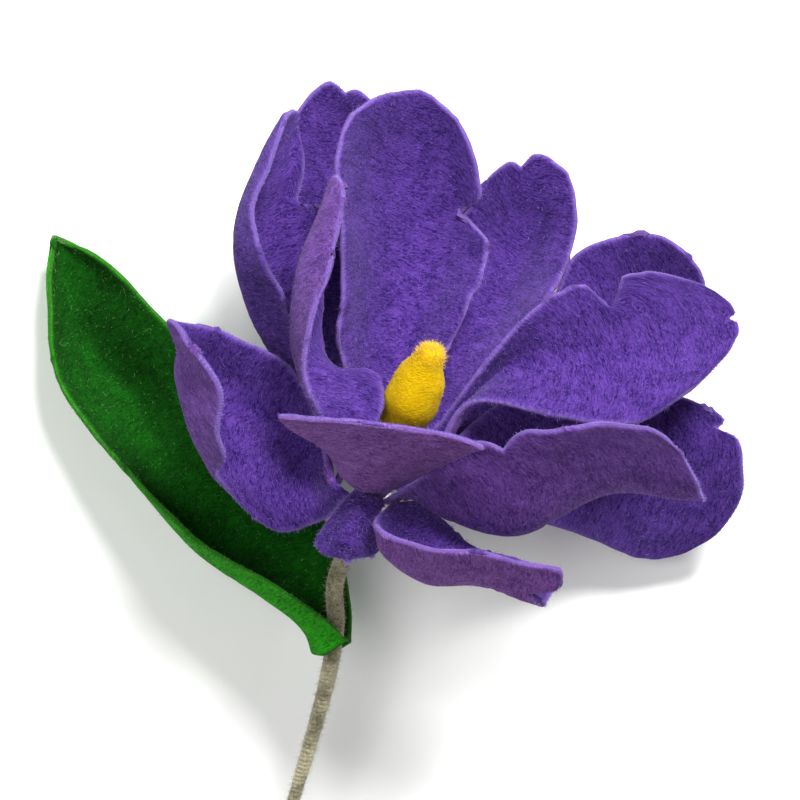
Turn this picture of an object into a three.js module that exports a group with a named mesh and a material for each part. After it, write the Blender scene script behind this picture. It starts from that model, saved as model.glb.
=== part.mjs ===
// A French tulip made of wool felt: thirteen petals in two whorls, a stuffed pistil, a folded leaf and a
// wrapped wire stem, lying on its back on a flat surface. Millimetres, +Z up, +X and +Y along the surface.
import * as THREE from "three";

// Driving dimensions
const FELT = 2.0; // thickness of the wool felt sheet
const GAP = 0.3; // clearance kept between neighbouring pieces
const WIRE_RADIUS = 0.8;
const HUB = [-7, -24, 52]; // where the petals, the pistil and the stem meet
const FLOWER_AXIS = [0.337, 0.797, 0.501]; // from the hub towards the pistil's tip
const INNER = { radius: 6.8, start: 0, claw: 6.2 };
const OUTER = { radius: 10.0, start: -3, claw: 7.0 };
const CLAW_LENGTH = 8; // the narrow foot of a petal that is glued to the hub
const PETAL_CELLS = { across: 10, along: 14 };
const LEAF_CELLS = { across: 14, along: 22 };

// Directions round the flower: azimuth 0 is to its right, 90 is its upper side, as the flower lies
const point = (p) => new THREE.Vector3(...p);
const axis = point(FLOWER_AXIS).normalize();
const right = new THREE.Vector3(axis.y, -axis.x, 0).normalize();
const upper = new THREE.Vector3().crossVectors(right, axis);

function around(azimuth, radius, height) {
  const angle = THREE.MathUtils.degToRad(azimuth);
  return point(HUB)
    .addScaledVector(axis, height)
    .addScaledVector(right, radius * Math.cos(angle))
    .addScaledVector(upper, radius * Math.sin(angle));
}

// The two lowest points of a thread, on the claw: its foot, and its top, bent outwards by `lean` degrees
function clawPoints(whorl, azimuth, claw, lean, share) {
  const bend = THREE.MathUtils.degToRad(lean);
  const spread = THREE.MathUtils.radToDeg(claw / whorl.radius);
  const at = azimuth + (share - 0.5) * spread;
  const out = whorl.radius + CLAW_LENGTH * Math.sin(bend);
  return [
    around(at, whorl.radius, whorl.start),
    around(at, out, whorl.start + CLAW_LENGTH * Math.cos(bend)),
  ];
}

// A felt sheet strung between threads: each thread runs from the foot to the tip, and smooth ribs cross them
function surface(threads) {
  const curves = threads.map((t) => new THREE.CatmullRomCurve3(t, false, "catmullrom", 0.5));
  return (across, along) => {
    const rib = curves.map((c) => c.getPointAt(along));
    return new THREE.CatmullRomCurve3(rib, false, "catmullrom", 0.5).getPoint((across + 1) / 2);
  };
}

// How far a snip of a given depth pulls the cut edge in, `away` from its middle
const snipPull = ([at, depth, width], where) => depth * Math.max(0, 1 - Math.abs(where - at) / width) ** 1.5;
const pulled = (snips = [], where) => snips.reduce((sum, s) => sum + snipPull(s, where), 0);

// The cut outline: a strip with straight sides and an elliptical tip, and snips in its two sides and its tip
function outline(a, b, round, snips) {
  const start = 1 - round;
  let across = a;
  let along = b;
  if (b > start) {
    const up = (b - start) / round;
    across = a * Math.sqrt(1 - (up * up) / 2);
    along = start + round * up * Math.sqrt(1 - (a * a) / 2);
  }
  const nearEdge = (x) => Math.max(0, x) ** 4;
  across += pulled(snips.first, b) * nearEdge(-a) - pulled(snips.last, b) * nearEdge(a);
  along -= pulled(snips.tip, a) * nearEdge(b);
  return [across, along];
}

function sheetGeometry(threads, cells, { round = 0.3, snips = {}, thickness = FELT }) {
  const at = surface(threads);
  const columns = cells.across + 1;
  const rows = cells.along + 1;
  const middle = [];
  for (let j = 0; j < rows; j++)
    for (let i = 0; i < columns; i++) {
      const [across, along] = outline((2 * i) / cells.across - 1, j / cells.along, round, snips);
      middle.push(at(across, along));
    }
  const grid = (i, j) =>
    middle[Math.min(rows - 1, Math.max(0, j)) * columns + Math.min(columns - 1, Math.max(0, i))];
  const positions = [];
  for (const side of [0.5, -0.5])
    for (let j = 0; j < rows; j++)
      for (let i = 0; i < columns; i++) {
        const cross = grid(i + 1, j).clone().sub(grid(i - 1, j));
        const length = grid(i, j + 1).clone().sub(grid(i, j - 1));
        const normal = cross.cross(length).normalize();
        positions.push(...grid(i, j).clone().addScaledVector(normal, side * thickness));
      }
  const index = [];
  const lower = columns * rows;
  const quad = (a, b, c, d) => index.push(a, b, c, a, c, d);
  for (let j = 0; j < cells.along; j++)
    for (let i = 0; i < cells.across; i++) {
      const a = j * columns + i;
      quad(a, a + 1, a + 1 + columns, a + columns);
      quad(lower + a, lower + a + columns, lower + a + 1 + columns, lower + a + 1);
    }
  const rim = [];
  for (let i = 0; i < cells.across; i++) rim.push(i);
  for (let j = 0; j < cells.along; j++) rim.push(j * columns + cells.across);
  for (let i = cells.across; i > 0; i--) rim.push(cells.along * columns + i);
  for (let j = cells.along; j > 0; j--) rim.push(j * columns);
  rim.forEach((v, k) => {
    const next = rim[(k + 1) % rim.length];
    quad(v, lower + v, lower + next, next);
  });
  const geometry = new THREE.BufferGeometry();
  geometry.setAttribute("position", new THREE.Float32BufferAttribute(positions, 3));
  geometry.setIndex(index);
  geometry.computeVertexNormals();
  return geometry;
}

const felt = (colour) => new THREE.MeshStandardMaterial({ color: colour, roughness: 0.95, metalness: 0 });
const purpleFelt = felt(0x5b3f9e);
const greenFelt = felt(0x1f6a12);
const yellowWool = felt(0xe6c30c);
const brownYarn = felt(0x6b6244);
const glue = new THREE.MeshStandardMaterial({ color: 0xd9d2c4, roughness: 0.35, metalness: 0 });
const steel = new THREE.MeshStandardMaterial({ color: 0x8a8a88, roughness: 0.4, metalness: 1 });

const tulip = new THREE.Group();
function piece(name, geometry, material) {
  const mesh = new THREE.Mesh(geometry, material);
  mesh.name = name;
  tulip.add(mesh);
  return mesh;
}

// Petals. Each thread lists the points that it passes above the claw, and the threads go round the flower
function petal(name, whorl, azimuth, { claw = whorl.claw, lean, threads, round, snips }) {
  const strung = threads.map((given, k) => [
    ...clawPoints(whorl, azimuth, claw, lean, k / (threads.length - 1)),
    ...given.map(point),
  ]);
  piece(name, sheetGeometry(strung, PETAL_CELLS, { round, snips }), purpleFelt);
}

// Inner whorl
petal("petal_inner_right_front", INNER, 32, {
  claw: 6.9,
  lean: 40,
  round: 0.2,
  threads: [
    [[12, -14, 58], [34, -14, 62], [58, -12, 64], [80, -14, 68]],
    [[14, -32, 66], [32, -36, 70], [56, -25, 72], [82, -27, 73]],
    [[12, -16, 82], [24, -8, 92], [38, -8, 95], [56, -6, 96], [81, -7, 88]],
  ],
  snips: { last: [[0.48, 0.2, 0.09]] },
});
petal("petal_inner_front", INNER, 96, {
  claw: 7.5,
  lean: 30,
  round: 0.1,
  threads: [
    [[2, -22, 70], [12, -17, 84], [25, -11.5, 98]],
    [[-9, -24, 72], [-6, -17, 85], [-5, -6, 99]],
    [[-16, -20, 70], [-22, -12, 80], [-36, -2, 92]],
  ],
});
petal("petal_inner_left", INNER, 180, {
  lean: 26,
  round: 0.07,
  threads: [
    [[-22, -4, 76], [-26, 10, 80], [-22, 28, 78], [-16, 50, 70], [-14, 59, 64]],
    [[-18, -6, 75], [-24, 4, 69], [-29, 16, 66], [-28, 34, 64], [-21, 52, 62], [-17.5, 61, 60]],
    [
      [-8, -9, 74], [-4.5, 0, 72], [-7.5, 7, 66], [-14, 7, 62],
      [-20, 12, 58], [-22, 26, 54], [-21, 42, 54], [-20, 59, 56],
    ],
  ],
});
petal("petal_inner_back", INNER, 270, {
  lean: 30,
  round: 0.22,
  threads: [
    [[-16, 12, 52], [-16, 40, 54], [-18, 66, 52], [-17, 85, 54]],
    [[-9, 12, 40], [-7, 40, 34], [-8, 66, 34], [-7, 86, 42]],
    [[3, 12, 35], [8, 40, 26], [7, 64, 26], [8, 87, 36]],
    [[13, 14, 42], [24, 38, 35], [23, 62, 34], [21, 84, 40]],
  ],
  snips: { last: [[0.7, 0.36, 0.06]] },
});
petal("petal_inner_right", INNER, 328, {
  lean: 45,
  round: 0.22,
  threads: [
    [[24, 11, 52], [41, 28, 54], [64, 35, 50], [93, 35, 38]],
    [[26, 6, 46], [46, 12, 49], [70, 14, 48], [95, 19, 38]],
    [[18, -2, 57], [40, -4.5, 60], [62, -7, 60], [84, 0, 50]],
  ],
  snips: { first: [[0.68, 0.55, 0.05]], tip: [[-0.35, 0.025, 0.12]] },
});

// Outer whorl
petal("petal_outer_right", OUTER, 0, {
  lean: 60,
  round: 0.28,
  threads: [
    [[15, -11, 47], [36, 3, 39], [66, 3, 31], [94, 6, 30]],
    [[14, -24, 42], [44, -21, 31], [72, -22, 22], [98, -22, 24]],
    [[12, -30, 46], [38, -34, 34], [62, -43, 15], [88, -56, 1]],
  ],
  snips: { tip: [[-0.7, 0.04, 0.15]] },
});
petal("petal_outer_right_front", OUTER, 45, {
  lean: 28,
  round: 0.06,
  threads: [
    [[10, -31, 58], [15, -36, 60], [20, -40, 63], [31, -43, 68], [45, -47, 74]],
    [[-4, -40, 72], [7, -49, 72], [22, -49.5, 76], [39, -56, 81]],
    [[-7, -33.5, 77], [4, -38.5, 86], [15, -40.5, 90], [28, -42, 92], [47, -46, 92]],
  ],
  snips: { tip: [[0.45, 0.09, 0.4]] },
});
petal("petal_outer_front", OUTER, 91, {
  lean: 22,
  round: 0.18,
  threads: [
    [[-5.5, -32, 66], [-4.5, -37, 65], [-5, -43.5, 64]],
    [[-12, -32, 72], [-14, -38, 72], [-14, -43.5, 69]],
    [[-18, -31, 66], [-22, -37, 66], [-25, -42.5, 65]],
  ],
});
petal("petal_outer_left_front", OUTER, 132, {
  lean: 45,
  round: 0.12,
  threads: [
    [[-21, -33, 60], [-35, -36, 54], [-50, -21, 60], [-45, -17, 72]],
    [[-25, -22, 53], [-38, -19, 56], [-56, -9, 60], [-49, -9, 75]],
    [[-22, -12, 52], [-44, 0, 48], [-61, 8, 57], [-49, 4, 77]],
    [[-22, -8, 59], [-30, 9, 54], [-45, 18, 54], [-63, 22, 60], [-58, 21, 74]],
  ],
});
petal("petal_outer_left", OUTER, 181.5, {
  lean: 15,
  round: 0.1,
  threads: [
    [
      [-22, -7, 45], [-27, 8, 45], [-31, 26, 56], [-37, 38, 62],
      [-40, 52, 57], [-36, 66, 50], [-30, 80, 42],
    ],
    [
      [-32, 8, 40], [-41, 24, 46], [-45, 38, 50], [-44, 52, 48],
      [-39, 66, 44], [-31, 81, 38],
    ],
    [
      [-30, 8, 36], [-36, 24, 38], [-37, 38, 38], [-37, 52, 38],
      [-33, 66, 36], [-29, 81, 32],
    ],
    [
      [-22, 10, 36], [-22, 25, 33], [-19, 40, 32], [-16, 51, 32], [-20, 54.5, 33], [-26, 54, 35],
      [-28.5, 56, 35], [-26.5, 66, 34], [-29, 79, 31],
    ],
  ],
});
petal("petal_outer_back_left", OUTER, 226, {
  lean: 40,
  round: 0.2,
  threads: [
    [[-24, 14, 28], [-34, 44, 20], [-35, 66, 14], [-33, 84, 16]],
    [[-12, 12, 23], [-16, 44, 8], [-17, 66, 1.5], [-20, 91, 10]],
    [[2, 10, 26], [4, 44, 12], [2, 66, 7], [0, 89, 14]],
  ],
  snips: { tip: [[0.3, 0.03, 0.35]] },
});
petal("petal_outer_back", OUTER, 270, {
  lean: 40,
  round: 0.18,
  threads: [
    [[8, 10, 31], [13, 24, 24], [17, 44, 13], [19, 66, 13]],
    [[16, 9, 30], [27, 24, 18], [33, 44, 1.8], [36, 70, 11]],
    [[24, 6, 37], [38, 22, 30], [49, 44, 15], [53, 70, 17]],
  ],
  snips: { tip: [[-0.1, 0.03, 0.3]] },
});
petal("petal_outer_back_right", OUTER, 315, {
  lean: 45,
  round: 0.1,
  threads: [
    [[15, -3, 33], [28, 12, 25], [43, 28, 16], [50, 42, 10], [66, 47, 12], [86, 45, 15]],
    [[18, -4, 34], [34, 5, 26], [48, 14, 14], [60, 24, 5], [72, 29, 1.8], [87, 31, 9]],
    [[20, -7, 34], [36, -2, 28], [52, 4, 19], [66, 10, 11], [76, 15, 7], [84, 20, 9]],
  ],
});

// Leaf: one piece of felt folded lengthwise, its foot wrapped round the stem. Its threads run from the foot
// to the tip, from its near edge round the fold to its far edge
const LEAF_TIP = [-99, 47];
const leafThreads = [
  [
    [-14.6, -67, 41.4], [-22, -60, 43.6], [-36, -51, 41], [-58, -38, 34],
    [-80, -17, 24], [-97, 5, 17], [-100, 28, 14],
  ],
  [
    [-20.8, -71, 41.2], [-28, -62, 38], [-39, -54, 33], [-60, -39, 22],
    [-80, -13, 13], [-94, 9, 9], [-99, 30, 9],
  ],
  [
    [-23.8, -71, 35.2], [-27, -58, 29], [-40, -43, 20], [-63, -22, 9],
    [-77, 0, 2.6], [-88, 15, 1.8], [-95, 34, 6],
  ],
  [
    [-18.8, -71, 31.2], [-20, -55, 29], [-30, -36, 22], [-52, -14, 15],
    [-65, 4, 12], [-74, 18, 12], [-86, 36, 9],
  ],
  [
    [-13.8, -68, 34], [-14, -56, 31.5], [-19, -38, 28], [-38, -10, 24],
    [-56, 10, 20], [-67, 23, 18], [-82, 38, 14],
  ],
].map((thread, k) => [...thread, [...LEAF_TIP, [10, 9, 8, 8, 9][k]]].map(point));
piece("leaf", sheetGeometry(leafThreads, LEAF_CELLS, { round: 0.05 }), greenFelt);

// Stem: a steel wire, and the fuzzy yarn wrapped round it, which thins out towards the cut end
const STEM_PATH = [
  [-17.8, -50, 40.2],
  [-18, -64, 37],
  [-22, -85, 32],
  [-36, -132, 20.5],
  [-52, -180, 8.8],
  [-61, -212, 1.9],
];
const stemTop = point(HUB).addScaledVector(axis, -1.2);
const stemShoulder = point(HUB).addScaledVector(axis, -10);
const stemPath = new THREE.CatmullRomCurve3([stemTop, stemShoulder, ...STEM_PATH.map(point)]);
const WRAP = { top: 2.5, end: 1.6, thinFrom: 0.2, thinTo: 0.6 };

// A round rod along the stem; with a bore it is a sleeve open at both ends
function rodGeometry(path, radiusAt, bore, stations, sides) {
  const frames = path.computeFrenetFrames(stations, false);
  const positions = [];
  const index = [];
  const ring = (k, radius) => {
    const centre = path.getPointAt(k / stations);
    for (let i = 0; i < sides; i++) {
      const angle = (i / sides) * 2 * Math.PI;
      const p = centre
        .clone()
        .addScaledVector(frames.normals[k], radius * Math.cos(angle))
        .addScaledVector(frames.binormals[k], radius * Math.sin(angle));
      positions.push(p.x, p.y, p.z);
    }
  };
  for (let k = 0; k <= stations; k++) ring(k, radiusAt(k / stations));
  if (bore) for (let k = stations; k >= 0; k--) ring(k, bore);
  const rings = positions.length / 3 / sides;
  const last = bore ? rings : rings - 1;
  for (let k = 0; k < last; k++)
    for (let i = 0; i < sides; i++) {
      const next = (k + 1) % rings;
      const a = k * sides + i;
      const b = k * sides + ((i + 1) % sides);
      const c = next * sides + ((i + 1) % sides);
      const d = next * sides + i;
      index.push(a, b, c, a, c, d);
    }
  if (!bore)
    for (let i = 1; i < sides - 1; i++) {
      const end = (rings - 1) * sides;
      index.push(0, i + 1, i, end, end + i, end + i + 1);
    }
  const geometry = new THREE.BufferGeometry();
  geometry.setAttribute("position", new THREE.Float32BufferAttribute(positions, 3));
  geometry.setIndex(index);
  geometry.computeVertexNormals();
  return geometry;
}
const wrapRadius = (t) => {
  const thinned = THREE.MathUtils.smoothstep(t, WRAP.thinFrom, WRAP.thinTo);
  return THREE.MathUtils.lerp(WRAP.top, WRAP.end, thinned);
};
piece("stem_wrap", rodGeometry(stemPath, wrapRadius, WIRE_RADIUS + GAP, 30, 10), brownYarn);
piece("stem_wire", rodGeometry(stemPath, () => WIRE_RADIUS, 0, 30, 8), steel);

// Glue base: a ring of set hot glue round the top of the stem, which the petals' feet are stuck to
const GLUE = { radius: 5.2, below: -7, above: -1 };
const ringOutline = [
  [WRAP.top + GAP, GLUE.below],
  [GLUE.radius - 1.5, GLUE.below],
  [GLUE.radius, GLUE.below + 2],
  [GLUE.radius, GLUE.above],
  [WRAP.top + GAP, GLUE.above],
  [WRAP.top + GAP, GLUE.below],
].map(([r, h]) => new THREE.Vector2(r, h));
const glueBase = piece("glue_base", new THREE.LatheGeometry(ringOutline, 24), glue);
glueBase.position.copy(point(HUB));
glueBase.quaternion.setFromUnitVectors(new THREE.Vector3(0, 1, 0), axis);

// Pistil: a firm bud of felted wool
const BUD = [
  [0, -0.6],
  [3.2, -0.6],
  [3.6, 0],
  [4.2, 8],
  [5.8, 19],
  [8, 30],
  [7.2, 37],
  [5.2, 43],
  [3.9, 46.4],
  [2.8, 47.6],
  [0, 48],
];
const bud = new THREE.LatheGeometry(BUD.map(([r, h]) => new THREE.Vector2(r, h)), 32);
const pistil = piece("pistil", bud, yellowWool);
pistil.position.copy(point(HUB));
pistil.quaternion.setFromUnitVectors(new THREE.Vector3(0, 1, 0), axis);

// The frame's origin is the middle of the footprint, on the surface
const box = new THREE.Box3().setFromObject(tulip, true);
tulip.position.set(-(box.min.x + box.max.x) / 2, -(box.min.y + box.max.y) / 2, -box.min.z);

export default tulip;
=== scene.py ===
import math
import bpy
import numpy as np
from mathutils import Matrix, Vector


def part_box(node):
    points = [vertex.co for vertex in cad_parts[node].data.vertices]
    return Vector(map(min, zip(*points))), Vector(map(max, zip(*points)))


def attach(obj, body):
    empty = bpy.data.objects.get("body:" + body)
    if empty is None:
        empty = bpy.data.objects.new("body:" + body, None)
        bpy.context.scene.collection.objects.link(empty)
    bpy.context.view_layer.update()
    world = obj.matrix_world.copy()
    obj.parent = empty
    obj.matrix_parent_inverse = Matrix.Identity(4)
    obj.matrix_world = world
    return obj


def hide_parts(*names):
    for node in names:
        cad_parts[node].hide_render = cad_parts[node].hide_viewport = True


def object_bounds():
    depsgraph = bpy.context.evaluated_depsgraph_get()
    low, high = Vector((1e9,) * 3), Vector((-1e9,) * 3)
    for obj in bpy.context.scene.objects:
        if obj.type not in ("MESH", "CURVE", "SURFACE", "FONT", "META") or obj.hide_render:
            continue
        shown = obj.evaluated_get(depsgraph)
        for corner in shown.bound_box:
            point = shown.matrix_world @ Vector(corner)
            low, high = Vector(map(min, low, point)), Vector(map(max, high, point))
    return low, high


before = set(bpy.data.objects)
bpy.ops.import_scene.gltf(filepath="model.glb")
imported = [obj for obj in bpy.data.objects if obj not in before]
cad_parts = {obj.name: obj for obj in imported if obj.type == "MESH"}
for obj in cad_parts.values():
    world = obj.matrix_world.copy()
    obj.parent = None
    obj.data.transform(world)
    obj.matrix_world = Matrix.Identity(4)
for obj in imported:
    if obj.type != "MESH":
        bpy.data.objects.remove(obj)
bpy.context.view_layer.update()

# The place and the camera
#
# The flower's own measures are in millimetres from a point below its middle. The pistil's solid says where that
# point lies in the frame, because the pistil is a turned bud whose foot is on the hub. The camera looks straight
# down on the flower as it lies on the floor.
HUB = np.array([-7.0, -24.0, 52.0])  # where the petals, the pistil and the stem meet
AXIS = np.array([0.337, 0.797, 0.501])  # from the hub towards the pistil's tip
BUD = [
    *[(0, -0.6), (3.2, -0.6), (3.6, 0), (4.2, 8), (5.8, 19), (8, 30)],
    *[(7.2, 37), (5.2, 43), (3.9, 46.4), (2.8, 47.6), (0, 48)],
]
AXIS = AXIS / np.linalg.norm(AXIS)
RIGHT = np.array([AXIS[1], -AXIS[0], 0]) / math.hypot(AXIS[0], AXIS[1])
UPPER = np.cross(RIGHT, AXIS)


def bud_middle():
    """The middle of the bud's box, from the hub: each side is reached by the edge of one of its rings."""
    radius, height = np.array(BUD, float).T
    middle = []
    for lean in AXIS:
        spread = radius * math.sqrt(1 - lean * lean)
        middle.append((np.max(height * lean + spread) + np.min(height * lean - spread)) / 2)
    return np.array(middle)


low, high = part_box("pistil")
ZERO = (np.array(low) + np.array(high)) / 2 * 1000 - HUB - bud_middle()


def placed(points):
    """Millimetres from the flower's own zero to metres in the frame."""
    return (np.asarray(points, float) + ZERO) / 1000


camera = bpy.data.objects.new("camera", bpy.data.cameras.new("camera"))
camera.data.lens = 197.1
camera.data.sensor_width = 36
camera.location = placed((0, 0, 1260))
camera.data.clip_start, camera.data.clip_end = 0.05, 30
bpy.context.collection.objects.link(camera)
bpy.context.scene.camera = camera

# Stem wire
#
# Annealed steel wire, drawn and then cut with pliers. It shows only at the cut end of the stem, where the yarn
# stops: grey, half dull, with fine lines along it.


def linear(colour):
    """An sRGB hex colour as linear RGBA."""
    parts = [int(colour[i : i + 2], 16) / 255 for i in (1, 3, 5)]
    return [c / 12.92 if c <= 0.04045 else ((c + 0.055) / 1.055) ** 2.4 for c in parts] + [1.0]


def new_material(name):
    material = bpy.data.materials.new(name)
    material.use_nodes = True
    material.node_tree.nodes.clear()
    return material


def node(material, kind, links=None, **settings):
    """A new node of a kind: settings sets its sockets and properties, links says what its sockets read."""
    made = material.node_tree.nodes.new(kind)
    for key, value in settings.items():
        socket = made.inputs.get(key.replace("_", " ")) if key[0].isupper() else None
        if socket is not None:
            socket.default_value = value
        else:
            setattr(made, key, value)
    for key, output in (links or {}).items():
        material.node_tree.links.new(output, made.inputs[key])
    return made


drawn_steel = new_material("drawn_steel_wire")
where = node(drawn_steel, "ShaderNodeTexCoord")
# the drawing lines of the die, 0.1 mm apart round the wire, drawn 0.3 mm apart to show
lines = node(drawn_steel, "ShaderNodeTexNoise", {"Vector": where.outputs["Object"]}, Scale=3300, Detail=2)
dull = node(drawn_steel, "ShaderNodeMapRange", {"Value": lines.outputs["Fac"]}, To_Min=0.3, To_Max=0.55)
grey = node(drawn_steel, "ShaderNodeMix", {"Factor": lines.outputs["Fac"]}, data_type="RGBA")
grey.inputs["A"].default_value, grey.inputs["B"].default_value = linear("#8b8a86"), linear("#b4b2ad")
shader = node(
    drawn_steel,
    "ShaderNodeBsdfPrincipled",
    {"Base Color": grey.outputs["Result"], "Roughness": dull.outputs["Result"]},
    Metallic=1.0,
)
node(drawn_steel, "ShaderNodeOutputMaterial", {"Surface": shader.outputs["BSDF"]})
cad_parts["stem_wire"].data.materials.clear()
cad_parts["stem_wire"].data.materials.append(drawn_steel)

# Stem wrap
#
# Loose fuzzy wool and mohair yarn, wound closely round the wire, about a turn every 1.2 mm, and thinning out
# below the leaf. Single turns show as ridges, and short pale hairs stand off it on all sides.
YARN_TURNS = 490 / 3
RINGS_PER_TURN = 6
STEM_HAIRS = 7000
YARN_RIDGE = 0.22
STEM_PATH = [
    *[(-17.8, -50, 40.2), (-18, -64, 37), (-22, -85, 32)],
    *[(-36, -132, 20.5), (-52, -180, 8.8), (-61, -212, 1.9)],
]


def thread(points, t):
    """Points on the smooth curve through the given points, at shares t of its spans."""
    points = np.asarray(points, float)
    run = np.vstack([2 * points[0] - points[1], points, 2 * points[-1] - points[-2]])
    spans = np.clip(t, 0, 1) * (len(points) - 1)
    k = np.minimum(spans.astype(int), len(points) - 2)
    w = (spans - k)[:, None]
    a, b, c, d = run[k], run[k + 1], run[k + 2], run[k + 3]
    return b + w * (c - a) / 2 + w**2 * (a - 2.5 * b + 2 * c - d / 2) + w**3 * (1.5 * (b - c) + (d - a) / 2)


def by_length(points, t):
    """The same, with t a share of the curve's length."""
    fine = np.linspace(0, 1, 401)
    steps = np.linalg.norm(np.diff(thread(points, fine), axis=0), axis=1)
    reach = np.concatenate([[0], np.cumsum(steps)])
    return thread(points, np.interp(t, reach / reach[-1], fine))


def mesh_piece(name, points, faces, material, attributes=None, smooth=True):
    """A piece of the object from points in the flower's own millimetres. It rides on the root body."""
    mesh = bpy.data.meshes.new(name)
    mesh.from_pydata(placed(points).tolist(), [], faces if isinstance(faces, list) else faces.tolist())
    mesh.materials.append(material)
    for key, values in (attributes or {}).items():
        values = np.asarray(values, np.float32)
        kind, field = ("FLOAT", "value") if values.ndim == 1 else ("FLOAT_VECTOR", "vector")
        mesh.attributes.new(key, kind, "POINT").data.foreach_set(field, values.ravel())
    if smooth:
        mesh.polygons.foreach_set("use_smooth", [True] * len(mesh.polygons))
    piece = bpy.data.objects.new(name, mesh)
    bpy.context.collection.objects.link(piece)
    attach(piece, "root")
    return piece


def hairs(name, roots, directions, lengths, thickness, material, seed, bend=0.5):
    """Fine loose fibres, each a thin closed spike of two bent lengths that starts just under the surface."""
    rng = np.random.default_rng(seed)
    count = len(roots)
    directions = directions / np.linalg.norm(directions, axis=1)[:, None]
    aside = np.cross(directions, rng.normal(size=(count, 3)))
    aside /= np.linalg.norm(aside, axis=1)[:, None]
    other = np.cross(directions, aside)
    lengths = np.asarray(lengths)[:, None]
    foot = roots - 0.15 * directions
    middle = foot + 0.5 * lengths * directions
    tip = middle + 0.5 * lengths * (directions + bend * rng.normal(size=(count, 3)))
    rows = []
    for centre, share in ((foot, 1.0), (middle, 0.8)):
        for corner in range(3):
            angle = corner * 2 * math.pi / 3
            rows.append(centre + thickness * share * (math.cos(angle) * aside + math.sin(angle) * other))
    rows.append(tip)
    points = np.stack(rows, axis=1).reshape(-1, 3)
    first = 7 * np.arange(count)[:, None]
    quads = [first + np.array([i, (i + 1) % 3, 3 + (i + 1) % 3, 3 + i]) for i in range(3)]
    tips = [first + np.array([3 + i, 3 + (i + 1) % 3, 6]) for i in range(3)]
    ends = [first + np.array([2, 1, 0])]
    faces = [f for part in quads + tips + ends for f in part.tolist()]
    return mesh_piece(name, points, faces, material, smooth=False)


stem_top = HUB - 1.2 * AXIS
stem_points = [stem_top, HUB - 10 * AXIS, *STEM_PATH]
stations = round(YARN_TURNS * RINGS_PER_TURN)
sides = 20
share = np.linspace(0, 1, stations + 1)
centre = by_length(stem_points, share)
forward = np.gradient(centre, axis=0)
forward /= np.linalg.norm(forward, axis=1)[:, None]
across = np.cross(forward, [0.0, 0.0, 1.0])
across /= np.linalg.norm(across, axis=1)[:, None]
up = np.cross(across, forward)
ease = np.clip((share - 0.2) / 0.4, 0, 1)
wrap_radius = 2.5 - 0.9 * ease**2 * (3 - 2 * ease)
turn = np.linspace(0, 2 * math.pi, sides, endpoint=False)
rng = np.random.default_rng(4)
knots = np.arange(0, stations + 30, 30)
waver = np.interp(np.arange(stations + 1), knots, rng.normal(0, 0.35, len(knots)))
winding = share[:, None] * YARN_TURNS * 2 * math.pi + turn[None, :] + waver[:, None]
ridge = YARN_RIDGE * (np.abs(np.cos(winding / 2)) - 0.75)
radius = wrap_radius[:, None] - 0.05 + ridge
spokes = np.cos(turn)[None, :, None] * across[:, None] + np.sin(turn)[None, :, None] * up[:, None]
outer = centre[:, None] + radius[..., None] * spokes
back_along = np.append(np.arange(stations, 0, -14), 0)
bore = centre[back_along][:, None] + 1.1 * spokes[back_along]
rings = np.concatenate([outer, bore])
corner = np.arange(sides)
beside = (corner + 1) % sides
wrap_faces = []
for k in range(len(rings)):
    after = (k + 1) % len(rings)
    here, there = k * sides, after * sides
    wrap_faces.append(np.stack([here + corner, here + beside, there + beside, there + corner], axis=1))
wool_yarn = new_material("wound_fuzzy_wool_yarn")
where = node(wool_yarn, "ShaderNodeTexCoord")
# plies of about 0.5 mm, drawn 0.9 mm apart
spot = where.outputs["Object"]
plies = node(wool_yarn, "ShaderNodeTexNoise", {"Vector": spot}, Scale=1100, Detail=6, Distortion=1.5)
patches = node(wool_yarn, "ShaderNodeTexNoise", {"Vector": where.outputs["Object"]}, Scale=150, Detail=3)
blend = node(wool_yarn, "ShaderNodeMath", {0: plies.outputs["Fac"], 1: patches.outputs["Fac"]}, operation="ADD")
mottle = blend.outputs["Value"]
share_of_pale = node(wool_yarn, "ShaderNodeMapRange", {"Value": mottle}, From_Min=0.8, From_Max=1.2)
yarn_colour = node(wool_yarn, "ShaderNodeMix", {"Factor": share_of_pale.outputs["Result"]}, data_type="RGBA")
yarn_colour.inputs["A"].default_value = linear("#4c482e")
yarn_colour.inputs["B"].default_value = linear("#a09a7c")
raised = node(wool_yarn, "ShaderNodeBump", {"Height": plies.outputs["Fac"]}, Strength=0.8, Distance=0.0004)
shader = node(
    wool_yarn,
    "ShaderNodeBsdfPrincipled",
    {"Base Color": yarn_colour.outputs["Result"], "Normal": raised.outputs["Normal"]},
    Roughness=0.95,
    Sheen_Weight=0.4,
    Sheen_Roughness=0.5,
)
node(wool_yarn, "ShaderNodeOutputMaterial", {"Surface": shader.outputs["BSDF"]})
stem_wrap = mesh_piece("stem_wrap_yarn", rings.reshape(-1, 3), np.concatenate(wrap_faces), wool_yarn)
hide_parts("stem_wrap")

wool_hair = new_material("loose_pale_wool_hair")
shader = node(wool_hair, "ShaderNodeBsdfPrincipled", Roughness=0.8, Sheen_Weight=0.3)
shader.inputs["Base Color"].default_value = linear("#8d8766")
node(wool_hair, "ShaderNodeOutputMaterial", {"Surface": shader.outputs["BSDF"]})
rng = np.random.default_rng(11)
rows = rng.integers(8, stations - 4, STEM_HAIRS)
angles = rng.uniform(0, 2 * math.pi, STEM_HAIRS)
outward = np.cos(angles)[:, None] * across[rows] + np.sin(angles)[:, None] * up[rows]
stem_hair = hairs(
    "stem_wrap_hair",
    centre[rows] + (wrap_radius[rows] - 0.15)[:, None] * outward,
    outward + rng.normal(0, 0.9, (STEM_HAIRS, 3)),
    rng.uniform(0.5, 1.9, STEM_HAIRS),
    0.04,
    wool_hair,
    seed=12,
)

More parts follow.
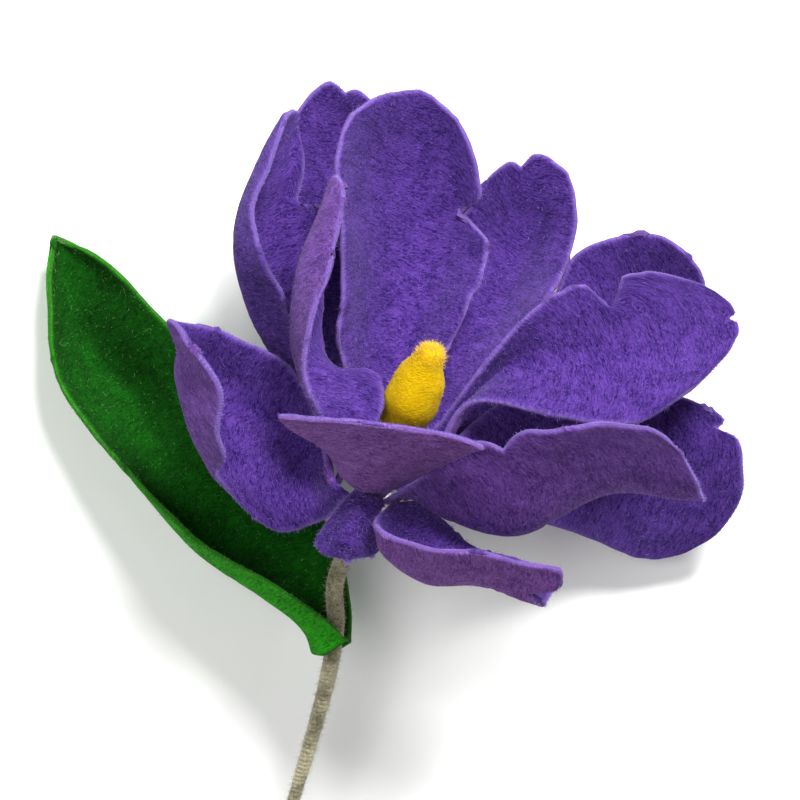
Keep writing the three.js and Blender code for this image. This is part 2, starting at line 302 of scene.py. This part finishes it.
# Glue base
#
# Hot-melt glue, an ethylene-vinyl acetate, run round the top of the stem and set milky. The petals' feet are
# pressed round it, and a little of it shows between them.
set_glue = new_material("set_hot_melt_glue")
where = node(set_glue, "ShaderNodeTexCoord")
cloud = node(set_glue, "ShaderNodeTexNoise", {"Vector": where.outputs["Object"]}, Scale=260, Detail=3)
milky = node(set_glue, "ShaderNodeMix", {"Factor": cloud.outputs["Fac"]}, data_type="RGBA")
milky.inputs["A"].default_value, milky.inputs["B"].default_value = linear("#b9b2a8"), linear("#dcd7cd")
shader = node(
    set_glue,
    "ShaderNodeBsdfPrincipled",
    {"Base Color": milky.outputs["Result"]},
    Roughness=0.35,
    IOR=1.48,
    Subsurface_Weight=0.2,
    Subsurface_Scale=0.002,
)
node(set_glue, "ShaderNodeOutputMaterial", {"Surface": shader.outputs["BSDF"]})
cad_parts["glue_base"].data.materials.clear()
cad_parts["glue_base"].data.materials.append(set_glue)

# Pistil
#
# A firm bud of carded wool, needle-felted until it holds its shape. Its skin is matte and softly dented, and the
# fibres at its crown are left loose.


def wander(points, size, seed, waves=10):
    """A smooth irregular height from about -1 to 1 whose bumps are of that size, in the points' own unit."""
    rng = np.random.default_rng(seed)
    ways = rng.normal(size=(waves, 3))
    ways /= np.linalg.norm(ways, axis=1)[:, None]
    pace = 2 * math.pi / (size * rng.uniform(1.4, 3.2, waves))
    phase = points @ (ways * pace[:, None]).T + rng.uniform(0, 2 * math.pi, waves)
    return np.sin(phase).sum(axis=1) / math.sqrt(waves)


def wool_felt(name, shades, edge_highlight_colour, sheen, sheen_tint):
    """Felted wool: tangled matte fibres in two shades on each face, with a painted highlight at a cut edge,
    mottled by the fibres. shades are the inner face's dark and pale ones, then the outer face's, a pair that is
    painted light where it differs."""
    felt = new_material(name)
    where = node(felt, "ShaderNodeAttribute", attribute_name="cloth")
    streaks = []
    # wool fibres are 0.03 mm thick, too fine to show: tufts of them are drawn 0.5 mm wide and 2 mm long
    for turn, offset in ((0.35, 0.0), (-0.7, 3.0)):
        laid = node(felt, "ShaderNodeMapping", {"Vector": where.outputs["Vector"]})
        laid.inputs["Rotation"].default_value = (0, 0, turn)
        laid.inputs["Location"].default_value = (offset, offset, 0)
        laid.inputs["Scale"].default_value = (520, 1500, 900)
        tuft = node(felt, "ShaderNodeTexNoise", {"Vector": laid.outputs["Vector"]}, Scale=1, Detail=5)
        tuft.inputs["Roughness"].default_value, tuft.inputs["Distortion"].default_value = 0.6, 1.6
        streaks.append(tuft.outputs["Fac"])
    summed = node(felt, "ShaderNodeMath", {0: streaks[0], 1: streaks[1]}, operation="ADD")
    tangle = summed.outputs["Value"]
    # uneven dye and nap, in patches about 6 mm across
    patch = node(felt, "ShaderNodeTexNoise", {"Vector": where.outputs["Vector"]}, Scale=160, Detail=4)
    patch.inputs["Roughness"].default_value = 0.6
    faint = node(felt, "ShaderNodeMath", {0: patch.outputs["Fac"]}, operation="MULTIPLY")
    faint.inputs[1].default_value = 0.5
    mottled = node(felt, "ShaderNodeMath", {0: faint.outputs["Value"], 1: tangle}, operation="ADD")
    pale = node(felt, "ShaderNodeMapRange", {"Value": mottled.outputs["Value"]}, From_Min=1.05, From_Max=1.45)
    faces = []
    for dark, light in (shades[:2], shades[2:]):
        face = node(felt, "ShaderNodeMix", {"Factor": pale.outputs["Result"]}, data_type="RGBA")
        face.inputs["A"].default_value, face.inputs["B"].default_value = linear(dark), linear(light)
        faces.append(face.outputs["Result"])
    # the outer face takes the second pair of shades as far as this attribute says; on the petals and the leaf
    # that pair is painted light
    which = node(felt, "ShaderNodeAttribute", attribute_name="outer_painted_light")
    either = {"Factor": which.outputs["Fac"], "A": faces[0], "B": faces[1]}
    body = node(felt, "ShaderNodeMix", either, data_type="RGBA")
    # towards a cut edge the colour goes to a painted highlight, mottled by the tangle of fibres
    edge = node(felt, "ShaderNodeAttribute", attribute_name="painted_edge_highlight")
    mottled_highlight = node(felt, "ShaderNodeMath", {0: edge.outputs["Fac"], 1: tangle}, operation="MULTIPLY")
    paler = node(felt, "ShaderNodeMapRange", {"Value": mottled_highlight.outputs["Value"]}, From_Min=0.1, From_Max=1.1)
    paler.inputs["To Max"].default_value = 0.6
    under = {"Factor": paler.outputs["Result"], "A": body.outputs["Result"]}
    colour = node(felt, "ShaderNodeMix", under, data_type="RGBA")
    colour.inputs["B"].default_value = linear(edge_highlight_colour)
    raised = node(felt, "ShaderNodeBump", {"Height": tangle}, Strength=0.9, Distance=0.0003)
    shader = node(
        felt,
        "ShaderNodeBsdfPrincipled",
        {"Base Color": colour.outputs["Result"], "Normal": raised.outputs["Normal"]},
        Roughness=0.95,
        Specular_IOR_Level=0.08,
        Sheen_Weight=sheen,
        Sheen_Roughness=0.5,
    )
    shader.inputs["Sheen Tint"].default_value = linear(sheen_tint)
    node(felt, "ShaderNodeOutputMaterial", {"Surface": shader.outputs["BSDF"]})
    return felt


# the bud's two pairs of shades are the same; its edge colour, a painted highlight, does not show as the bud has
# no cut edge
yellow_wool = wool_felt("needle_felted_yellow_wool", ("#a98300", "#cba700") * 2, "#f6e23a", 0.1, "#ffe98a")
rise = np.linspace(0, 1, 90)
profile = thread(np.array([(r, 0, h) for r, h in BUD]), rise)
turn = np.linspace(0, 2 * math.pi, 72, endpoint=False)
spoke = np.cos(turn)[:, None] * RIGHT + np.sin(turn)[:, None] * UPPER
bud_points = [HUB + profile[0, 2] * AXIS]
for r, _, h in profile[1:-1]:
    bud_points.extend(HUB + h * AXIS + max(r - 0.25, 0.3) * spoke)
bud_points.append(HUB + profile[-1, 2] * AXIS)
bud_points = np.array(bud_points)
centre_line = HUB + ((bud_points - HUB) @ AXIS)[:, None] * AXIS
out = bud_points - centre_line
out /= np.maximum(np.linalg.norm(out, axis=1), 0.3)[:, None]
bud_points = bud_points + out * (0.28 * wander(bud_points, 5.0, 21) - 0.1)[:, None]
count = 72
bud_faces = [[0, 1 + (i + 1) % count, 1 + i] for i in range(count)]
for k in range(len(profile) - 3):
    first = 1 + k * count
    for i in range(count):
        beyond = (i + 1) % count
        bud_faces.append([first + i, first + beyond, first + count + beyond, first + count + i])
last = len(bud_points) - 1
first = 1 + (len(profile) - 3) * count
bud_faces += [[first + i, first + (i + 1) % count, last] for i in range(count)]
pistil = mesh_piece(
    "pistil_bud",
    bud_points,
    bud_faces,
    yellow_wool,
    {"outer_painted_light": 0 * bud_points[:, 0], "painted_edge_highlight": 0 * bud_points[:, 0], "cloth": bud_points / 1000},
)
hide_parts("pistil")

yellow_hair = new_material("loose_yellow_wool_hair")
shader = node(yellow_hair, "ShaderNodeBsdfPrincipled", Roughness=0.8, Sheen_Weight=0.3)
shader.inputs["Base Color"].default_value = linear("#dcb414")
node(yellow_hair, "ShaderNodeOutputMaterial", {"Surface": shader.outputs["BSDF"]})
rng = np.random.default_rng(31)
heights = (bud_points - HUB) @ AXIS
odds = np.where(heights > 43, 2.0, 1.0)
BUD_HAIRS = 2600
picked = rng.choice(len(bud_points), BUD_HAIRS, p=odds / odds.sum())
crown = heights[picked] > 43
pistil_hair = hairs(
    "pistil_hair",
    bud_points[picked] + rng.normal(0, 0.15, (BUD_HAIRS, 3)),
    out[picked] + np.where(crown, 0.9, 0.15)[:, None] * AXIS + rng.normal(0, 0.5, (BUD_HAIRS, 3)),
    np.where(crown, rng.uniform(0.4, 1.7, BUD_HAIRS), rng.uniform(0.3, 0.8, BUD_HAIRS)),
    0.035,
    yellow_hair,
    seed=32,
)

# Petals
#
# Thirteen petals cut by hand with scissors from 2 mm sheet of dyed wool felt, five in an inner whorl and eight
# round them, each glued by its narrow foot and bent to shape. The cut edge is painted paler, a painted highlight
# where fibres stand out and catch the light. A paler second pair of shades paints light on the outer faces.
FELT = 2.0
INNER = {"radius": 6.8, "start": 0.0, "claw": 6.2}
OUTER = {"radius": 10.0, "start": -3.0, "claw": 7.0}
CLAW_LENGTH = 8.0


def claw_points(whorl, azimuth, claw, lean, share):
    """The foot of a thread and the top of the claw, on the ring that the whorl is glued to."""
    at = math.radians(azimuth) + (share - 0.5) * claw / whorl["radius"]
    bend = math.radians(lean)
    spoke = math.cos(at) * RIGHT + math.sin(at) * UPPER
    foot = HUB + whorl["start"] * AXIS + whorl["radius"] * spoke
    return foot, foot + CLAW_LENGTH * (math.cos(bend) * AXIS + math.sin(bend) * spoke)


def across_threads(ribs, share):
    """ribs is (threads, points, 3). Each point is on the smooth curve across its own rib, at its own share."""
    run = np.concatenate([2 * ribs[:1] - ribs[1:2], ribs, 2 * ribs[-1:] - ribs[-2:-1]])
    spans = share * (len(ribs) - 1)
    k = np.minimum(spans.astype(int), len(ribs) - 2)
    w = (spans - k)[:, None]
    here = np.arange(len(share))
    a, b, c, d = run[k, here], run[k + 1, here], run[k + 2, here], run[k + 3, here]
    return b + w * (c - a) / 2 + w**2 * (a - 2.5 * b + 2 * c - d / 2) + w**3 * (1.5 * (b - c) + (d - a) / 2)


def snip_pull(snips, where):
    pull = np.zeros_like(where)
    for at, depth, width in snips:
        pull = pull + depth * np.maximum(0, 1 - np.abs(where - at) / width) ** 1.5
    return pull


def quads_of(grid):
    """The four corner numbers of each cell of a grid of point numbers."""
    return np.stack([grid[:-1, :-1], grid[:-1, 1:], grid[1:, 1:], grid[1:, :-1]], axis=-1).reshape(-1, 4)


def felt_sheet(name, threads, cells, round_tip, snips, material, seed, wave=1.0, painted_light_amount=1.0):
    """A closed sheet of felt strung between threads, with a hand-cut outline, a rounded edge and soft waves."""
    columns, rows = cells
    near = np.array([0, 0.006, 0.018, 0.036, 0.06])
    a = np.concatenate([-1 + near, np.linspace(-0.93, 0.93, columns), 1 - near[::-1]])
    b = np.concatenate([near / 2, np.linspace(0.045, 0.955, rows), 1 - near[::-1] / 2])
    aa, bb = np.meshgrid(a, b)
    shape = aa.shape
    aa, bb = aa.ravel(), bb.ravel()
    start = 1 - round_tip
    lift = np.clip((bb - start) / round_tip, 0, 1)
    share_across = aa * np.sqrt(1 - lift**2 / 2)
    share_along = np.where(bb > start, start + round_tip * lift * np.sqrt(1 - aa**2 / 2), bb)
    loose = np.clip((bb - 0.15) * 4, 0, 1)
    spot = np.stack([aa * 20, bb * 80, 0 * aa], axis=1)
    cut = loose * (0.02 * wander(spot, 9, seed) + 0.006 * wander(spot, 3, seed + 1))
    share_across += snip_pull(snips.get("first", []), bb) * np.maximum(0, -aa) ** 4
    share_across -= snip_pull(snips.get("last", []), bb) * np.maximum(0, aa) ** 4
    share_across += cut * aa * np.abs(aa) ** 5
    share_along -= snip_pull(snips.get("tip", []), aa) * np.maximum(0, bb) ** 4
    share_along += 0.25 * cut * bb**8
    half = np.clip((share_across + 1) / 2, 0, 1)
    ribs = []
    for points in threads:
        fine = np.linspace(0, 1, 201)
        steps = np.linalg.norm(np.diff(thread(points, fine), axis=0), axis=1)
        reach = np.concatenate([[0], np.cumsum(steps)])
        ribs.append(thread(points, np.interp(np.clip(share_along, 0, 1), reach / reach[-1], fine)))
    middle = across_threads(np.array(ribs), half).reshape(*shape, 3)
    flat = middle.reshape(-1, 3)
    normal = np.cross(np.gradient(middle, axis=1), np.gradient(middle, axis=0))
    normal /= np.maximum(np.linalg.norm(normal, axis=2), 1e-9)[..., None]
    margin = np.maximum(np.abs(aa), np.maximum(0, 2 * bb - 1)) ** 3 * loose
    rumple = wave * (0.55 * margin * wander(flat, 9, seed + 2) + 0.22 * loose * wander(flat, 14, seed + 3))
    middle = middle + normal * rumple.reshape(shape)[..., None]
    normal = np.cross(np.gradient(middle, axis=1), np.gradient(middle, axis=0))
    normal /= np.maximum(np.linalg.norm(normal, axis=2), 1e-9)[..., None]
    side_steps = np.linalg.norm(np.diff(middle, axis=1), axis=2)
    end_steps = np.linalg.norm(np.diff(middle, axis=0), axis=2)
    from_left = np.concatenate([np.zeros((shape[0], 1)), np.cumsum(side_steps, axis=1)], axis=1)
    from_foot = np.concatenate([np.zeros((1, shape[1])), np.cumsum(end_steps, axis=0)], axis=0)
    inset = np.minimum.reduce([from_left, from_left[:, -1:] - from_left, from_foot, from_foot[-1:] - from_foot])
    rounding = np.clip(inset / (0.6 * FELT), 0, 1)
    thinned = 1 - 0.08 * wander(flat, 2.5, seed + 4).reshape(shape) ** 2
    half_thick = FELT / 2 * np.sqrt(np.clip(1 - (1 - rounding) ** 2, 0, 1)) * thinned
    face = middle + normal * half_thick[..., None]
    back = middle - normal * half_thick[..., None]
    count = shape[0] * shape[1]
    number = np.arange(count).reshape(shape)
    inner = np.zeros(shape, bool)
    inner[1:-1, 1:-1] = True
    back_number = number.copy()
    back_number[inner] = count + np.arange(inner.sum())
    points = np.concatenate([face.reshape(-1, 3), back[inner]])
    faces = np.concatenate([quads_of(number), quads_of(back_number)[:, ::-1]])
    # pale is how strongly the painted edge highlight shows; the outer face's share of painted light follows
    pale = np.exp(-inset / (0.35 * FELT))
    outer_painted_light = np.concatenate([np.where(inset.ravel() < 0.3, 0.5, 0.0), np.ones(inner.sum())]) * painted_light_amount
    cloth = np.stack([from_left - from_left[:, -1:] / 2, from_foot, np.zeros(shape)], axis=2) / 1000
    back_cloth = cloth[inner] + (0.5, 0.3, 0.2)
    details = {
        "outer_painted_light": outer_painted_light,
        "painted_edge_highlight": np.concatenate([pale.ravel(), pale[inner]]),
        "cloth": np.concatenate([cloth.reshape(-1, 3), back_cloth]),
    }
    piece = mesh_piece(name, points, faces, material, details)
    width = from_left[:, -1].max() / 1000
    length = from_foot[-1].max() / 1000
    diagonals = middle[1:, 1:] - middle[:-1, :-1], middle[1:, :-1] - middle[:-1, 1:]
    strip = np.linalg.norm(np.cross(*diagonals), axis=2) / 2
    piece["flat"] = (width, length, strip.sum() / 1e6)
    return piece, middle, normal, inset


def felt_hairs(name, sheet, count, material, seed, lengths=(0.4, 1.5)):
    """Loose fibres on a sheet: most stand out round its cut edge, and some lie along its two faces."""
    piece, middle, normal, inset = sheet
    rng = np.random.default_rng(seed)
    rows, columns = inset.shape
    edge_cells = [(j, i) for j in range(rows) for i in (0, columns - 1)]
    edge_cells += [(rows - 1, i) for i in range(columns)]
    edge_cells = np.array(edge_cells)
    on_side = np.isin(edge_cells[:, 1], (0, columns - 1))
    sideways = np.stack([edge_cells[:, 0], np.clip(edge_cells[:, 1], 4, columns - 5)], axis=1)
    footwards = np.stack([np.full(len(edge_cells), rows - 5), edge_cells[:, 1]], axis=1)
    inward = np.where(on_side[:, None], sideways, footwards)
    j, i = edge_cells.T
    gap = np.linalg.norm(np.diff(middle[j, i], axis=0, append=middle[j[:1], i[:1]]), axis=1)
    gap = np.where(gap > 4, 0.3, gap)
    picked = rng.choice(len(edge_cells), int(count * 0.6), p=gap / gap.sum())
    j, i = edge_cells[picked].T
    jj, ii = inward[picked].T
    outward = middle[j, i] - middle[jj, ii]
    outward /= np.maximum(np.linalg.norm(outward, axis=1), 1e-6)[:, None]
    slide = rng.uniform(0, 1, len(picked))[:, None] * (middle[np.minimum(j + 1, rows - 1), i] - middle[j, i])
    roots = middle[j, i] + slide - 0.25 * outward + normal[j, i] * rng.uniform(-0.6, 0.6, len(picked))[:, None]
    ways = outward + rng.normal(0, 0.55, (len(picked), 3))
    lying = count - len(picked)
    j = rng.integers(3, rows - 4, lying)
    i = rng.integers(4, columns - 5, lying)
    side = rng.choice([-1.0, 1.0], lying)[:, None]
    along = middle[j + 1, i] - middle[j, i]
    along /= np.maximum(np.linalg.norm(along, axis=1), 1e-6)[:, None]
    beside = np.cross(along, normal[j, i])
    heading = rng.uniform(0, 2 * math.pi, lying)[:, None]
    away = side * normal[j, i]
    slid = rng.uniform(0, 1, lying)[:, None] * (middle[j + 1, i] - middle[j, i])
    face_roots = middle[j, i] + slid + away * (FELT / 2 - 0.02)
    rise = rng.uniform(0.1, 0.7, lying)[:, None]
    face_ways = np.cos(heading) * along + np.sin(heading) * beside + away * rise
    return hairs(
        name,
        np.concatenate([roots, face_roots]),
        np.concatenate([ways, face_ways]),
        rng.uniform(*lengths, count),
        0.036,
        material,
        seed=seed + 1,
    )


# the outer face's shades, paler and redder, are painted light; the edge colour is a painted highlight
purple_felt = wool_felt(
    "dyed_purple_wool_felt", ("#1c0a46", "#513384", "#42185c", "#7b4f92"), "#7f65b2", 0.12, "#c9b8f0"
)
purple_hair = new_material("loose_purple_felt_fibre")
shader = node(purple_hair, "ShaderNodeBsdfPrincipled", Roughness=0.8, Sheen_Weight=0.4)
shader.inputs["Base Color"].default_value = linear("#7c62b4")
node(purple_hair, "ShaderNodeOutputMaterial", {"Surface": shader.outputs["BSDF"]})
PETAL_CELLS = (34, 64)
PETAL_HAIRS = 2400
petal_numbers = iter(range(1, 14))


def petal(name, whorl, azimuth, lean, round_tip, threads, snips=None, claw=None, outer_light_share=0.5):
    """A petal whose given threads run on from its claw. Its last argument is how far its outer face takes the
    felt's second pair of shades, painted light, 0 to 1."""
    strung = []
    for k, given in enumerate(threads):
        foot, top = claw_points(whorl, azimuth, claw or whorl["claw"], lean, k / (len(threads) - 1))
        strung.append([foot, top, *given])
    cut = round_tip, snips or {}
    seed = 7 * next(petal_numbers)
    sheet = felt_sheet(name + "_felt", strung, PETAL_CELLS, *cut, purple_felt, 100 + seed, painted_light_amount=outer_light_share)
    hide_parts(name)
    hair = felt_hairs(name + "_hair", sheet, PETAL_HAIRS, purple_hair, seed=500 + seed)


# Inner whorl
# the last argument of each petal sets how far its outer face takes the painted light
petal(
    "petal_inner_right_front",
    INNER,
    azimuth=32,
    claw=6.9,
    lean=40,
    round_tip=0.2,
    outer_light_share=0.35,
    threads=[
        [(12, -14, 58), (34, -14, 62), (58, -12, 64), (80, -14, 68)],
        [(14, -32, 66), (32, -36, 70), (56, -25, 72), (82, -27, 73)],
        [(12, -16, 82), (24, -8, 92), (38, -8, 95), (56, -6, 96), (81, -7, 88)],
    ],
    snips={"last": [[0.48, 0.2, 0.09]]},
)
petal(
    "petal_inner_front",
    INNER,
    azimuth=96,
    claw=7.5,
    lean=30,
    round_tip=0.1,
    outer_light_share=1.0,
    threads=[
        [(2, -22, 70), (12, -17, 84), (25, -11.5, 98)],
        [(-9, -24, 72), (-6, -17, 85), (-5, -6, 99)],
        [(-16, -20, 70), (-22, -12, 80), (-36, -2, 92)],
    ],
)
petal(
    "petal_inner_left",
    INNER,
    azimuth=180,
    lean=26,
    round_tip=0.07,
    outer_light_share=0.4,
    threads=[
        [(-22, -4, 76), (-26, 10, 80), (-22, 28, 78), (-16, 50, 70), (-14, 59, 64)],
        [(-18, -6, 75), (-24, 4, 69), (-29, 16, 66), (-28, 34, 64), (-21, 52, 62), (-17.5, 61, 60)],
        [
            (-8, -9, 74), (-4.5, 0, 72), (-7.5, 7, 66), (-14, 7, 62),
            (-20, 12, 58), (-22, 26, 54), (-21, 42, 54), (-20, 59, 56),
        ],
    ],
)
petal(
    "petal_inner_back",
    INNER,
    azimuth=270,
    lean=30,
    round_tip=0.22,
    threads=[
        [(-16, 12, 52), (-16, 40, 54), (-18, 66, 52), (-17, 85, 54)],
        [(-9, 12, 40), (-7, 40, 34), (-8, 66, 34), (-7, 86, 42)],
        [(3, 12, 35), (8, 40, 26), (7, 64, 26), (8, 87, 36)],
        [(13, 14, 42), (24, 38, 35), (23, 62, 34), (21, 84, 40)],
    ],
    snips={"last": [[0.7, 0.36, 0.06]]},
)
petal(
    "petal_inner_right",
    INNER,
    azimuth=328,
    lean=45,
    round_tip=0.22,
    threads=[
        [(24, 11, 52), (41, 28, 54), (64, 35, 50), (93, 35, 38)],
        [(26, 6, 46), (46, 12, 49), (70, 14, 48), (95, 19, 38)],
        [(18, -2, 57), (40, -4.5, 60), (62, -7, 60), (84, 0, 50)],
    ],
    snips={"first": [[0.68, 0.55, 0.05]], "tip": [[-0.35, 0.025, 0.12]]},
)
# Outer whorl
petal(
    "petal_outer_right",
    OUTER,
    azimuth=0,
    lean=60,
    round_tip=0.28,
    threads=[
        [(15, -11, 47), (36, 3, 39), (66, 3, 31), (94, 6, 30)],
        [(14, -24, 42), (44, -21, 31), (72, -22, 22), (98, -22, 24)],
        [(12, -30, 46), (38, -34, 34), (62, -43, 15), (88, -56, 1)],
    ],
    snips={"tip": [[-0.7, 0.04, 0.15]]},
)
petal(
    "petal_outer_right_front",
    OUTER,
    azimuth=45,
    lean=28,
    round_tip=0.06,
    outer_light_share=0.85,
    threads=[
        [(10, -31, 58), (15, -36, 60), (20, -40, 63), (31, -43, 68), (45, -47, 74)],
        [(-4, -40, 72), (7, -49, 72), (22, -49.5, 76), (39, -56, 81)],
        [(-7, -33.5, 77), (4, -38.5, 86), (15, -40.5, 90), (28, -42, 92), (47, -46, 92)],
    ],
    snips={"tip": [[0.45, 0.09, 0.4]]},
)
petal(
    "petal_outer_front",
    OUTER,
    azimuth=91,
    lean=22,
    round_tip=0.18,
    threads=[
        [(-5.5, -32, 66), (-4.5, -37, 65), (-5, -43.5, 64)],
        [(-12, -32, 72), (-14, -38, 72), (-14, -43.5, 69)],
        [(-18, -31, 66), (-22, -37, 66), (-25, -42.5, 65)],
    ],
)
petal(
    "petal_outer_left_front",
    OUTER,
    azimuth=132,
    lean=45,
    round_tip=0.12,
    outer_light_share=0.4,
    threads=[
        [(-21, -33, 60), (-35, -36, 54), (-50, -21, 60), (-45, -17, 72)],
        [(-25, -22, 53), (-38, -19, 56), (-56, -9, 60), (-49, -9, 75)],
        [(-22, -12, 52), (-44, 0, 48), (-61, 8, 57), (-49, 4, 77)],
        [(-22, -8, 59), (-30, 9, 54), (-45, 18, 54), (-63, 22, 60), (-58, 21, 74)],
    ],
)
petal(
    "petal_outer_left",
    OUTER,
    azimuth=181.5,
    lean=15,
    round_tip=0.1,
    outer_light_share=0.0,
    threads=[
        [
            (-22, -7, 45), (-27, 8, 45), (-31, 26, 56), (-37, 38, 62),
            (-40, 52, 57), (-36, 66, 50), (-30, 80, 42),
        ],
        [(-32, 8, 40), (-41, 24, 46), (-45, 38, 50), (-44, 52, 48), (-39, 66, 44), (-31, 81, 38)],
        [(-30, 8, 36), (-36, 24, 38), (-37, 38, 38), (-37, 52, 38), (-33, 66, 36), (-29, 81, 32)],
        [
            (-22, 10, 36), (-22, 25, 33), (-19, 40, 32), (-16, 51, 32), (-20, 54.5, 33),
            (-26, 54, 35), (-28.5, 56, 35), (-26.5, 66, 34), (-29, 79, 31),
        ],
    ],
)
petal(
    "petal_outer_back_left",
    OUTER,
    azimuth=226,
    lean=40,
    round_tip=0.2,
    threads=[
        [(-24, 14, 28), (-34, 44, 20), (-35, 66, 14), (-33, 84, 16)],
        [(-12, 12, 23), (-16, 44, 8), (-17, 66, 1.5), (-20, 91, 10)],
        [(2, 10, 26), (4, 44, 12), (2, 66, 7), (0, 89, 14)],
    ],
    snips={"tip": [[0.3, 0.03, 0.35]]},
)
petal(
    "petal_outer_back",
    OUTER,
    azimuth=270,
    lean=40,
    round_tip=0.18,
    threads=[
        [(8, 10, 31), (13, 24, 24), (17, 44, 13), (19, 66, 13)],
        [(16, 9, 30), (27, 24, 18), (33, 44, 1.8), (36, 70, 11)],
        [(24, 6, 37), (38, 22, 30), (49, 44, 15), (53, 70, 17)],
    ],
    snips={"tip": [[-0.1, 0.03, 0.3]]},
)
petal(
    "petal_outer_back_right",
    OUTER,
    azimuth=315,
    lean=45,
    round_tip=0.1,
    threads=[
        [(15, -3, 33), (28, 12, 25), (43, 28, 16), (50, 42, 10), (66, 47, 12), (86, 45, 15)],
        [(18, -4, 34), (34, 5, 26), (48, 14, 14), (60, 24, 5), (72, 29, 1.8), (87, 31, 9)],
        [(20, -7, 34), (36, -2, 28), (52, 4, 19), (66, 10, 11), (76, 15, 7), (84, 20, 9)],
    ],
)

# Leaf
#
# One piece of the same felt, dyed green, folded lengthwise and left half open. Its foot is wrapped round the
# stem and glued, and the leaf leans away on the flower's left.
# the outer face's shades, brighter, are painted light; the edge colour is a painted highlight
green_felt = wool_felt(
    "dyed_green_wool_felt", ("#032803", "#0c4e08", "#125a0a", "#2f9a1c"), "#2c6c18", 0.02, "#b6dc92"
)
green_hair = new_material("loose_green_felt_fibre")
shader = node(green_hair, "ShaderNodeBsdfPrincipled", Roughness=0.8, Sheen_Weight=0.4)
shader.inputs["Base Color"].default_value = linear("#57883c")
node(green_hair, "ShaderNodeOutputMaterial", {"Surface": shader.outputs["BSDF"]})
# threads from the leaf's near edge round the fold to its far edge
LEAF = [
    [
        (-14.6, -67, 41.4), (-22, -60, 43.6), (-36, -51, 41), (-58, -38, 34),
        (-80, -17, 24), (-97, 5, 17), (-100, 28, 14), (-99, 47, 10),
    ],
    [
        (-20.8, -71, 41.2), (-28, -62, 38), (-39, -54, 33), (-60, -39, 22),
        (-80, -13, 13), (-94, 9, 9), (-99, 30, 9), (-99, 47, 9),
    ],
    [
        (-23.8, -71, 35.2), (-27, -58, 29), (-40, -43, 20), (-63, -22, 9),
        (-77, 0, 2.6), (-88, 15, 1.8), (-95, 34, 6), (-99, 47, 8),
    ],
    [
        (-18.8, -71, 31.2), (-20, -55, 29), (-30, -36, 22), (-52, -14, 15),
        (-65, 4, 12), (-74, 18, 12), (-86, 36, 9), (-99, 47, 8),
    ],
    [
        (-13.8, -68, 34), (-14, -56, 31.5), (-19, -38, 28), (-38, -10, 24),
        (-56, 10, 20), (-67, 23, 18), (-82, 38, 14), (-99, 47, 9),
    ],
]
sheet = felt_sheet("leaf_felt", LEAF, (52, 110), 0.05, {}, green_felt, seed=900, wave=0.8)
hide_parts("leaf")
LEAF_HAIRS = 4200
leaf_hair = felt_hairs("leaf_hair", sheet, LEAF_HAIRS, green_hair, seed=950)

# Floor and light
#
# A pale matte table, a large soft light above the flower's upper right and a weaker one all round.
low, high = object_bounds()
floor_mesh = bpy.data.meshes.new("floor")
FLOOR_HALF = 6.0
corner_ways = ((-1, -1), (1, -1), (1, 1), (-1, 1))
floor_corners = [(x * FLOOR_HALF, y * FLOOR_HALF, low[2] - 0.0004) for x, y in corner_ways]
floor_mesh.from_pydata(floor_corners, [], [(0, 1, 2, 3)])
floor = bpy.data.objects.new("floor", floor_mesh)
bpy.context.collection.objects.link(floor)
table_paint = new_material("matte_white_paint")
where = node(table_paint, "ShaderNodeTexCoord")
grain = node(table_paint, "ShaderNodeTexNoise", {"Vector": where.outputs["Object"]}, Scale=60, Detail=2)
paint = node(table_paint, "ShaderNodeMix", {"Factor": grain.outputs["Fac"]}, data_type="RGBA")
paint.inputs["A"].default_value, paint.inputs["B"].default_value = linear("#f4f4f2"), linear("#fafaf8")
shader = node(table_paint, "ShaderNodeBsdfPrincipled", {"Base Color": paint.outputs["Result"]}, Roughness=0.9)
node(table_paint, "ShaderNodeOutputMaterial", {"Surface": shader.outputs["BSDF"]})
floor_mesh.materials.append(table_paint)


def softbox(name, place, size, power):
    lamp = bpy.data.lights.new(name, "AREA")
    lamp.shape, lamp.size, lamp.energy = "DISK", size, power
    holder = bpy.data.objects.new(name, lamp)
    holder.location = placed(place)
    aim = placed((0, 0, 50)) - placed(place)
    holder.rotation_mode = "QUATERNION"
    holder.rotation_quaternion = Vector(aim).to_track_quat("-Z", "Y")
    bpy.context.collection.objects.link(holder)


softbox("key", (420, 950, 1100), 0.55, 50)
softbox("fill", (-450, -50, 1500), 0.9, 13)
world = bpy.data.worlds.new("soft_room")
world.use_nodes = True
world.node_tree.nodes["Background"].inputs["Color"].default_value = (1, 1, 1, 1)
world.node_tree.nodes["Background"].inputs["Strength"].default_value = 0.27
bpy.context.scene.world = world
bpy.context.scene.view_settings.view_transform = "Standard"
